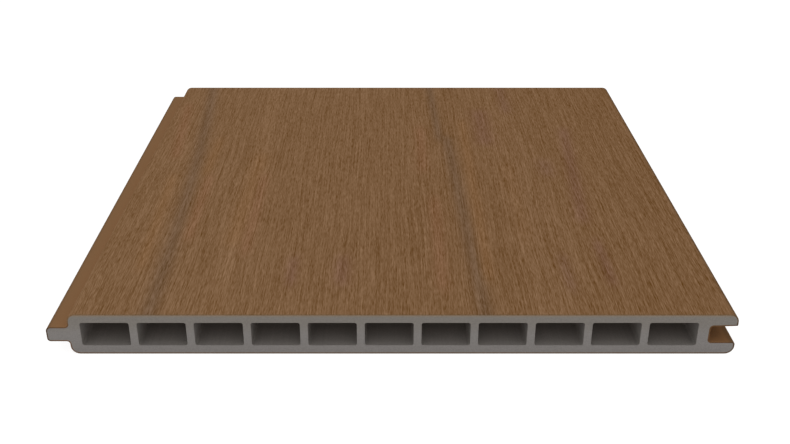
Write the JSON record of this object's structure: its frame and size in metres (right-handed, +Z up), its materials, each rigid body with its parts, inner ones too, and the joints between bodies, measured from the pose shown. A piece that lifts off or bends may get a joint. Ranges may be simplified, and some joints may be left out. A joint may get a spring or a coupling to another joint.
{
  "type": "composite fence board",
  "caption": "Hollow extruded composite fence board with a tongue along one edge and a groove along the other.",
  "frame": {"origin": "centre of the board's box, at the level of its back, on which it lies", "axes": "+X across the board, from the tongue to the groove; +Y along its length; +Z up, from the back to the face"},
  "size_m": [0.31, 0.3, 0.021],
  "materials": {
    "composite": "co-extruded wood-plastic composite: a brown wood-grain cap over a grey core"
  },
  "bodies": {
    "root": {"fence_board": "composite"}
  },
  "joints": []
}
